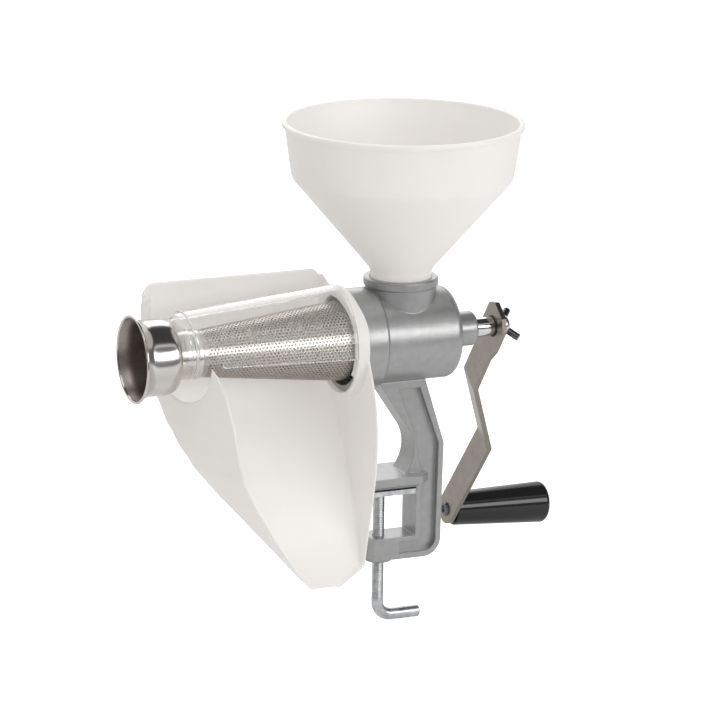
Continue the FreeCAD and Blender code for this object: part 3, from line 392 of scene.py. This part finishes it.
SCREEN = {"start": -45.0, "stop": -182.0, "big": 34.6, "small": 19.1, "wall": 0.6}
HOLES = {"pitch": 3.0, "radius": 0.9, "sides": 12, "margin": 1.6, "seam": 3.5, "seam_at": 20.0}


def screen_radius(x):
    """The screen's outer radius at a place on its axis."""
    share = (SCREEN["start"] - x) / (SCREEN["start"] - SCREEN["stop"])
    return SCREEN["big"] + (SCREEN["small"] - SCREEN["big"]) * share


def perforated():
    """The screen's sheet with its staggered holes, laid out flat and rolled up."""
    length = SCREEN["start"] - SCREEN["stop"]
    lean = math.atan((SCREEN["big"] - SCREEN["small"]) / length)
    near, far = SCREEN["small"] / math.sin(lean), SCREEN["big"] / math.sin(lean)
    fan = math.pi * math.sin(lean)
    pitch, radius, sides, margin = (HOLES[name] for name in ("pitch", "radius", "sides", "margin"))
    step = 2 * math.pi / sides
    turns = [step * k + math.pi / 6 for k in range(sides)]
    corner, middle = pitch / math.sqrt(3), pitch / 2
    outline = [(middle if k % 2 else corner, a) for k, a in enumerate(turns)]

    def rolled(u, v):
        reach, turn = math.hypot(u, v), math.atan2(v, u)
        x = SCREEN["stop"] + (reach - near) * math.cos(lean)
        spot = turn / math.sin(lean) + math.radians(HOLES["seam_at"])
        return along(x, reach * math.sin(lean), spot)

    points, faces, known = [], [], {}
    finest = 0.02

    def add(u, v):
        key = (round(u / finest), round(v / finest))
        if key not in known:
            known[key] = len(points)
            points.append(rolled(u, v))
        return known[key]

    row_pitch = pitch * math.sqrt(3) / 2
    rows = int(2 * far * math.sin(fan) / row_pitch) + 2
    for row in range(-rows, rows + 1):
        v = row * row_pitch
        for column in range(int(near * math.cos(fan) / pitch), int(far / pitch) + 2):
            u = (column + 0.5 * (row % 2)) * pitch
            edge = [(u + r * math.cos(a), v + r * math.sin(a)) for r, a in outline]
            inside = all(
                near + margin < math.hypot(*q) < far - margin
                and abs(math.atan2(q[1], q[0])) < fan - HOLES["seam"] / math.hypot(*q)
                for q in edge
            )
            if not inside:
                continue
            outer = [add(*q) for q in edge]
            first = len(points)
            points += [rolled(u + radius * math.cos(a), v + radius * math.sin(a)) for a in turns]
            for k in range(sides):
                after = (k + 1) % sides
                faces.append((outer[k], outer[after], first + after, first + k))
    return points, faces


def border(x, y, lift=0.12):
    """A plain band of the screen between two places on the axis."""
    wall = SCREEN["wall"]
    big, small = screen_radius(x) + lift, screen_radius(y) + lift
    return soft((x, big - wall), (x, big, 0.2), (y, small, 0.2), (y, small - wall))


def seam():
    """The lap of the rolled sheet, a narrow strip from end to end."""
    proud, depth = 0.35, 0.8
    ends = (SCREEN["start"], SCREEN["stop"])
    outer = [(x, screen_radius(x) + proud) for x in ends]
    inner = [(x, r - depth) for x, r in reversed(outer)]
    return lathe(outer + inner, along, 10, 191.0, 18.0)


piece(
    "screen_sheet", perforated(), "body_screen", "perforated_steel", ("strainer_screen",),
    thick=-SCREEN["wall"],
)
bands = {"back": (SCREEN["start"], -49.2), "front": (-177.6, SCREEN["stop"])}
for end, places in bands.items():
    piece(f"screen_{end}_band", lathe(border(*places), along), "body_screen", "perforated_steel")
piece("screen_seam", seam(), "body_screen", "perforated_steel")

# The cup's neck starts at the neck rings, its wall turns out to the body and flares to the face.
CUP = {"start": -192.0, "face": -237.0, "neck": 20.2, "body": 31.4, "rim": 36.2, "wall": 1.2}
cup_start, cup_face, cup_rim = CUP["start"], CUP["face"], CUP["rim"]
neck, body = CUP["neck"], CUP["body"]
cup_outside = soft(
    (cup_start, neck), (-202.6, neck, 1.2), (-203.4, body, 12.5), (-228.5, body, 4),
    (cup_face + 1.8, cup_rim - 1.2, 1.0), (cup_face + 1.8, cup_rim, 0.8),
    (cup_face, cup_rim, 0.9), (cup_face, cup_rim - 2.0, 0.8), steps=12,
)
cup_inside = soft(
    (cup_face + 1.2, cup_rim - 2.5, 0.5), (-229, body - CUP["wall"], 4),
    (-204.8, body - CUP["wall"], 12), (-203.6, neck - CUP["wall"], 1.5),
    (cup_start, neck - CUP["wall"]), steps=12,
)
cup_shell = lathe(cup_outside + cup_inside[:1], along, closed=False)
piece("cup_shell", cup_shell, "body_screen", "sheet_steel", ("waste_cup",), 60)
cup_lining = lathe(cup_outside[-1:] + cup_inside + cup_outside[:1], along, closed=False)
piece("cup_lining", cup_lining, "body_screen", "sheet_steel", (), 60, look=satin_shaded_inside)

# Two rings with a groove between them hold the screen's small end.
ring, groove, bore = 20.6, 19.8, 18.6
neck_rings = soft(
    (SCREEN["stop"], bore), (SCREEN["stop"], ring, 0.6), (-185.6, ring, 0.6),
    (-186.4, groove, 0.4), (-188.4, groove, 0.4),
    (-189.2, ring, 0.6), (cup_start, ring, 0.8), (cup_start, bore),
)
piece("neck_rings", lathe(neck_rings, along), "body_screen", "sheet_steel", ("screen_neck",))


def flight():
    """The auger: a tapered core and one long left-hand flight."""
    back, front, straight, pitch = 28.0, -178.0, -30.0, 32.0
    big_core, small_core, bore, clearance = 13.0, 8.0, 34.8, 0.8
    root, tip = math.pi * 5.0 / pitch, math.pi * 2.6 / pitch
    steps, sides = 460, 26
    points = []
    for i in range(steps + 1):
        x = back + (front - back) * i / steps
        turn = 2 * math.pi * (back - x) / pitch
        share = max(0.0, (x - straight) / (front - straight))
        core = big_core + (small_core - big_core) * share
        inside = screen_radius(x) - SCREEN["wall"] if x < SCREEN["start"] else bore
        reach = min(bore, inside) - clearance
        ring = [(reach - 0.5, -tip), (reach, -tip * 0.6), (reach, tip * 0.6), (reach - 0.5, tip)]
        ring += [(core + 2.2, root), (core + 0.5, root * 1.35)]
        ring += [(core, 2 * root + (2 * math.pi - 4 * root) * k / sides) for k in range(sides + 1)]
        ring += [(core + 0.5, -root * 1.35), (core + 2.2, -root)]
        for r, a in ring:
            points.append(AXIS + MM * Vector((x, r * math.cos(turn + a), r * math.sin(turn + a))))
    return points, tube(steps + 1, len(ring))


piece("auger_flight", flight(), "body_auger", "white_plastic", ("auger",), 50)

# The hopper's section as (radius, height, rounding): neck, cone, bowl, rolled rim and back down.
HOPPER = {"neck": 25.5, "wall": 2.4, "cone": 91.4, "low": 36.3, "knee": 134.0, "top": 180.0}
hopper_neck, hopper_wall, hopper_low = HOPPER["neck"], HOPPER["wall"], HOPPER["low"]
hopper_knee, hopper_top = HOPPER["knee"], HOPPER["top"]
hopper_section = soft(
    (hopper_neck - hopper_wall, hopper_low), (hopper_neck, hopper_low, 0.6), (hopper_neck, 57, 4),
    (HOPPER["cone"], hopper_knee, 3), (97.2, hopper_top - 5.0, 1.0), (99.2, hopper_top - 4.2, 0.8),
    (100.0, hopper_top - 2.6, 1.0), (99.8, hopper_top - 0.6, 0.8), (98.6, hopper_top, 0.8),
    (95.4, hopper_top, 1.2), (HOPPER["cone"] - hopper_wall, hopper_knee + 0.6, 3),
    (hopper_neck - hopper_wall, 58.4, 4),
)
hopper_bowl = lathe(hopper_section, lambda r, z, a: above(z, r, a), 200)
piece("hopper_bowl", hopper_bowl, "body_hopper", "milky_plastic", ("hopper",), 50)


def inset(path, depth):
    """The same path moved to the side of the axis by the depth of a wall."""
    moved = []
    for i, (x, r) in enumerate(path):
        way = Vector(path[min(i + 1, len(path) - 1)]) - Vector(path[max(i - 1, 0)])
        way.normalize()
        moved.append((x - way.y * depth, r + way.x * depth))
    return moved


def thick_sheet(outside, inside, faces):
    """A wall between two sets of points that share their faces, closed along its edges."""
    count = len(outside)
    used = {}
    for face in faces:
        for a, b in zip(face, face[1:] + face[:1]):
            used[(a, b)] = True
    rims = [(a, b, b + count, a + count) for a, b in used if (b, a) not in used]
    backs = [tuple(count + k for k in reversed(face)) for face in faces]
    return outside + inside, faces + backs + rims


SHIELD = {"right": -57.4, "big": 46.8, "slope": 0.0817, "front": -6, "back": 138, "wall": 1.4}
SKIRT = {"left": -172.0, "step": 5.7, "count": 21, "shell_left": -180.0}


def shield():
    """The clear half-cone: right end to dome, with a skirt along the front edge."""
    right, big = SHIELD["right"], SHIELD["big"]
    path = soft((right, big), (-194, 35.6, 9.5), (-201.2, 34, 8.5), (-201.4, 21.6), steps=10)
    step = 11.46
    straight = [(right - step * k, big - step * k * SHIELD["slope"]) for k in range(11)]
    path = straight + path[1:]
    angles = range(SHIELD["front"], SHIELD["back"] + 1, 2)
    inner = inset(path, SHIELD["wall"])
    outside, inside = (
        [along(x, r, math.radians(a)) for a in angles for x, r in line] for line in (path, inner)
    )
    count = len(path)
    faces = []
    for i in range(len(angles) - 1):
        for k in range(count - 1):
            if angles[i] < 0 and path[k + 1][0] < SKIRT["shell_left"]:
                continue
            low, high = i * count + k, (i + 1) * count + k
            faces.append((low, high, high + 1, low + 1))
    return thick_sheet(outside, inside, faces)


def bead(path, radius, sides=10):
    """A thin round edge along points."""
    points = []
    for i, spot in enumerate(path):
        way = (path[min(i + 1, len(path) - 1)] - path[max(i - 1, 0)]).normalized()
        out = way.orthogonal().normalized() if i == 0 else (out - out.dot(way) * way).normalized()
        side = way.cross(out)
        for k in range(sides):
            a = 2 * math.pi * k / sides
            points.append(spot + MM * radius * (math.cos(a) * out + math.sin(a) * side))
    return points, tube(len(path), sides)


def shield_radius(x):
    """The radius of the middle of the shield's wall at a place on its axis."""
    return 46.6 + (x + 52) * SHIELD["slope"]


def shield_edges():
    """The shield's thick edges: along the skirt, round the dome's mouth and on its lip."""
    left, front = SKIRT["left"], SHIELD["front"]
    end = [along(left, shield_radius(left), math.radians(a)) for a in range(0, front, -2)]
    places = [left + SKIRT["step"] * k for k in range(SKIRT["count"])]
    skirt = end + [along(x, shield_radius(x), math.radians(front)) for x in places]
    round_dome = [math.radians(a) for a in range(0, SHIELD["back"] + 1, 3)]
    mouth = [along(-201.0, 21.9, a) for a in round_dome]
    lip = [along(-193.5, 35.4, a) for a in round_dome]
    return {"skirt_edge": (skirt, 0.7), "dome_edge": (mouth, 0.7), "dome_lip": (lip, 0.8)}


# The shield's edges are dressed whiter and milkier than its clear shell: painted highlight along
# the clear edges.
edge_highlight_look = milky("shield_edge", (0.95, 0.95, 0.945), 0.6, 0.12)
for name, edge in shield_edges().items():
    piece(f"shield_{name}", bead(*edge), "body_shield", "clear_plastic", look=edge_highlight_look)
piece("shield_shell", shield(), "body_shield", "clear_plastic", ("splash_shield",), 60)


def rod():
    """The clamp screw: a threaded rod bent into a short handle."""
    low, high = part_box("clamp_screw")
    radius, bend, thread, pitch, bevel = 5.0, 12.0, 0.45, 1.5, 0.8
    thread_end, tip_length, steps = -100.0, 2.0, 12
    base, end, top = low.z / MM + radius, high.x / MM, high.z / MM
    path = []
    z = top
    while z > base + bend:
        path.append((Vector((0, 0, z)), Vector((0, 0, -1))))
        z -= pitch / 4
    for k in range(steps + 1):
        a = math.radians(90.0 * k / steps)
        path.append((
            Vector((bend - bend * math.cos(a), 0, base + bend - bend * math.sin(a))),
            Vector((math.sin(a), 0, -math.cos(a))),
        ))
    path.append((Vector((end - bevel, 0, base)), Vector((1, 0, 0))))
    path.append((Vector((end, 0, base)), Vector((1, 0, 0))))
    sides = 28
    points = []
    for i, (spot, way) in enumerate(path):
        out = Vector((0, 1, 0)).cross(way)
        for k in range(sides):
            a = 2 * math.pi * k / sides
            r = radius
            if thread_end < spot.z < top - tip_length:
                phase = (spot.z / pitch + k / sides) % 1.0
                r -= thread * abs(2 * phase - 1)
            if i in (0, len(path) - 1):
                r = radius - bevel
            points.append(MM * (spot + r * (math.cos(a) * out + math.sin(a) * Vector((0, 1, 0)))))
    return points, tube(len(path), sides)


def eased(value, *stops):
    """A value read from a line of (place, amount) pairs."""
    for (a, low), (b, high) in zip(stops, stops[1:]):
        if a <= value <= b:
            f = (value - a) / (b - a)
            f = f * f * (3 - 2 * f)
            return low + f * (high - low)
    return stops[0][1] if value < stops[0][0] else stops[-1][1]


# How far the chute's left side is drawn in at a height, and its top corner at a place, in mm.
LEFT_DRAWN = (
    (-170, 0), (-145, -1.5), (-120, -2.0), (-99, 0), (-85, 3.5), (-66, 7), (-48, 9),
    (-30, 8), (0, 5), (30, 4.5),
)
TOP_DRAWN = (45, 5), (60, 4), (120, 0)
# Within this radius, and right of this place, the chute's ring keeps its form.
RING_REACH, RING_LEFT = 47.0, -60.0


def scoop():
    """The chute as moulded: the solid with drawn-in sides, thick soft edges and folds."""
    source = nodes["juice_chute"]
    mesh = source.data.copy()
    mesh.transform(source.matrix_world)
    obj = bpy.data.objects.new("chute_shell", mesh)
    bpy.context.scene.collection.objects.link(obj)
    made = obj.modifiers.new("even", "REMESH")
    made.mode = "VOXEL"
    made.voxel_size = 0.9 * MM
    graph = bpy.context.evaluated_depsgraph_get()
    done = bpy.data.meshes.new_from_object(obj.evaluated_get(graph))
    obj.modifiers.clear()
    obj.data = done
    free = obj.vertex_groups.new(name="free")
    for v in done.vertices:
        x, y, z = (v.co - AXIS) / MM
        off_ring = max(math.hypot(y, z) - RING_REACH, RING_LEFT - x)
        free.add([v.index], eased(off_ring, (0, 0), (4, 1)), "REPLACE")
        x += eased(-x, (95, 0), (155, 1)) * eased(z, *LEFT_DRAWN)
        x -= eased(z, (18, 0), (46, 1)) * eased(-x, *TOP_DRAWN)
        v.co = AXIS + MM * Vector((x, y, z))
    made = obj.modifiers.new("soft", "SMOOTH")
    made.factor = 0.5
    made.iterations = 14
    made.vertex_group = "free"
    done.shade_smooth()
    dress(obj, looks["milky_plastic"])
    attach(obj, "body_chute")
    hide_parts("juice_chute")


scoop()
# A thin black ring where the shaft meets the arm: painted shade of the dark gap at the shaft's
# shoulder.
shaft_gap_shade_section = soft((83.7, 8.2), (83.7, 8.9, 0.3), (84.4, 9.3, 0.3), (84.4, 8.2))
piece("shaft_gap_shade_ring", lathe(shaft_gap_shade_section, along, 64), "body_crank", "rubber_black")
piece("screw_rod", rod(), "body_clamp_screw", "zinc_steel", ("clamp_screw",), 40)
hub_section = soft((90.1, 0), (90.1, 9.0, 0.8), (97.5, 9.0, 4), (99.5, 0))
piece("wing_hub", lathe(hub_section, along, 64), "body_crank", "chrome_steel", ("wing_bolt",))


def wing(sign):
    """A round wing of the bolt, from the hub to the middle of the solid wing's end."""
    bolt = nodes["wing_bolt"]
    solid = [(bolt.matrix_world @ v.co - AXIS) / MM for v in bolt.data.vertices]
    wing_end, root, share, steps = 13.5, 94.5, 0.25, 50
    end = [v for v in solid if math.hypot(v.y, v.z) > wing_end and sign * v.z > 0]
    tip = sum(end, Vector()) / len(end)
    foot = Vector((root, share * tip.y, share * tip.z))
    return bead([AXIS + MM * (foot + (tip - foot) * k / steps) for k in range(steps + 1)], 3.1, 24)


piece("wing_up", wing(1), "body_crank", "chrome_steel", look=dark_plate)
piece("wing_down", wing(-1), "body_crank", "chrome_steel", look=dark_plate)
# Where the grip's bolt leaves the arm's outer face, and the way that it points.
GRIP = Vector((0.1397, 0.1589, -0.0816))
GRIP_AXIS = Vector((0.99863, 0.03186, -0.04152)).normalized()
GRIP_SIDE = GRIP_AXIS.orthogonal().normalized()


def on_grip(x, r, a):
    """A point by its place on the grip's axis, from the arm's outer face."""
    other = GRIP_AXIS.cross(GRIP_SIDE)
    return GRIP + MM * (x * GRIP_AXIS + r * (math.cos(a) * GRIP_SIDE + math.sin(a) * other))


bolt_section = soft(
    (-4.9, 0), (-4.9, 3.0, 0.3), (-6.2, 3.3, 0.3), (-6.2, 5.6, 0.8), (-4.05, 6.4, 0.3),
    (-4.05, 4.0), (84, 4.0), (84, 0),
)
grip_bolt = lathe(bolt_section, on_grip, 48)
piece("bolt_head", grip_bolt, "body_crank", "chrome_steel", ("grip_bolt",), look=dark_plate)
dress(nodes["jaw_pad"], plastic("grey_pad", (0.20, 0.20, 0.21), 0.5))


def floor():
    """A pale floor that the camera, glossy and clear rays see as white."""
    mesh = bpy.data.meshes.new("floor")
    low, far = cad_box[0].z - MM, 6.0
    corners = [(-far, -far, low), (far, -far, low), (far, far, low), (-far, far, low)]
    mesh.from_pydata(corners, [], [(0, 1, 2, 3)])
    ground = bpy.data.objects.new("floor", mesh)
    bpy.context.scene.collection.objects.link(ground)
    m = Stuff("pale_floor", (0.8, 0.8, 0.8), 0.9)
    cloud = m.noise(3.0, 2.0)
    m.color(cloud, (0.3, (0.79, 0.79, 0.79)), (0.7, (0.81, 0.81, 0.81)))
    ray = m.node("ShaderNodeLightPath")
    clear_ray = m.node("ShaderNodeMath", operation="MAXIMUM")
    m.put(clear_ray, 0, ray.outputs["Is Camera Ray"])
    m.put(clear_ray, 1, ray.outputs["Is Transmission Ray"])
    seen = m.node("ShaderNodeMath", operation="MAXIMUM")
    m.put(seen, 0, clear_ray.outputs[0])
    m.put(seen, 1, ray.outputs["Is Glossy Ray"])
    glow = m.node("ShaderNodeEmission")
    m.put(glow, "Color", (1.0, 1.0, 1.0, 1.0))
    m.put(glow, "Strength", m.levels(clear_ray.outputs[0], 0.10, 0.72))
    both = m.node("ShaderNodeAddShader")
    m.put(both, 0, m.shader.outputs[0])
    m.put(both, 1, glow.outputs[0])
    mix = m.node("ShaderNodeMixShader")
    m.put(mix, 0, seen.outputs[0])
    m.put(mix, 1, m.shader.outputs[0])
    m.put(mix, 2, both.outputs[0])
    m.tree.links.new(mix.outputs[0], m.tree.nodes["Material Output"].inputs["Surface"])
    mesh.materials.append(m.mat)


def lamp(name, place, aim, size, power, size_y=None):
    """An area lamp aimed at a point."""
    data = bpy.data.lights.new(name, "AREA")
    data.energy = power
    data.size = size
    if size_y:
        data.shape = "RECTANGLE"
        data.size_y = size_y
    obj = bpy.data.objects.new(name, data)
    obj.location = place
    obj.rotation_euler = (Vector(aim) - Vector(place)).to_track_quat("-Z", "Y").to_euler()
    bpy.context.scene.collection.objects.link(obj)
    return obj


def light():
    """An even white world, seen at full strength only by camera, glossy and clear rays."""
    world = bpy.data.worlds.new("world")
    bpy.context.scene.world = world
    world.use_nodes = True
    tree = world.node_tree
    back = tree.nodes["Background"]
    ray = tree.nodes.new("ShaderNodeLightPath")
    clear_ray = tree.nodes.new("ShaderNodeMath")
    clear_ray.operation = "MAXIMUM"
    tree.links.new(ray.outputs["Is Camera Ray"], clear_ray.inputs[0])
    tree.links.new(ray.outputs["Is Transmission Ray"], clear_ray.inputs[1])
    seen = tree.nodes.new("ShaderNodeMath")
    seen.operation = "MAXIMUM"
    tree.links.new(clear_ray.outputs[0], seen.inputs[0])
    tree.links.new(ray.outputs["Is Glossy Ray"], seen.inputs[1])
    level = tree.nodes.new("ShaderNodeMapRange")
    tree.links.new(seen.outputs[0], level.inputs["Value"])
    level.inputs["To Min"].default_value = 0.58
    level.inputs["To Max"].default_value = 1.0
    back.inputs["Color"].default_value = (1, 1, 1, 1)
    tree.links.new(level.outputs[0], back.inputs["Strength"])
    middle = (0, 0, 0.1)
    lamp("key", (0.70, -1.55, 0.60), middle, 1.7, 15.0, 0.60)
    lamp("top", (-0.7, -0.6, 2.0), middle, 1.2, 12.0)
    lamp("back", (0.2, 1.6, 1.2), middle, 1.6, 10.0)


def card(name, corners, value):
    """A dark studio card that only reflections show."""
    mesh = bpy.data.meshes.new(name)
    mesh.from_pydata(corners, [], [(0, 1, 2, 3)])
    obj = bpy.data.objects.new(name, mesh)
    bpy.context.scene.collection.objects.link(obj)
    m = Stuff(name, (value, value, value), 0.9)
    m.color(m.noise(2.0), (0.3, (value,) * 3), (0.7, (value * 1.3,) * 3))
    mesh.materials.append(m.mat)
    for ray in ("camera", "diffuse", "transmission", "shadow", "volume_scatter"):
        setattr(obj, "visible_" + ray, False)


def upright(start, stop):
    """The corners of an upright card between two places on the floor."""
    low, high = -0.12, 2.3
    return [(*start, low), (*stop, low), (*stop, high), (*start, high)]


def level(left, right, front, back, height):
    """The corners of a level card."""
    outline = [(left, front), (right, front), (right, back), (left, back)]
    return [(*corner, height) for corner in outline]


floor()
light()
card("left_card", upright((-2.4, -1.9), (-2.4, 1.3)), 0.24)
card("right_card", upright((2.4, -1.9), (2.4, 1.0)), 0.16)
card("front_card", upright((-2.4, -2.2), (2.4, -2.2)), 0.16)
card("ceiling_card", level(-5, 5, -1.7, 1.6, 2.3), 0.05)
card("table_card", level(-2.4, 2.4, -1.9, -0.9, -0.121), 0.06)
bpy.context.scene.view_settings.view_transform = "Standard"
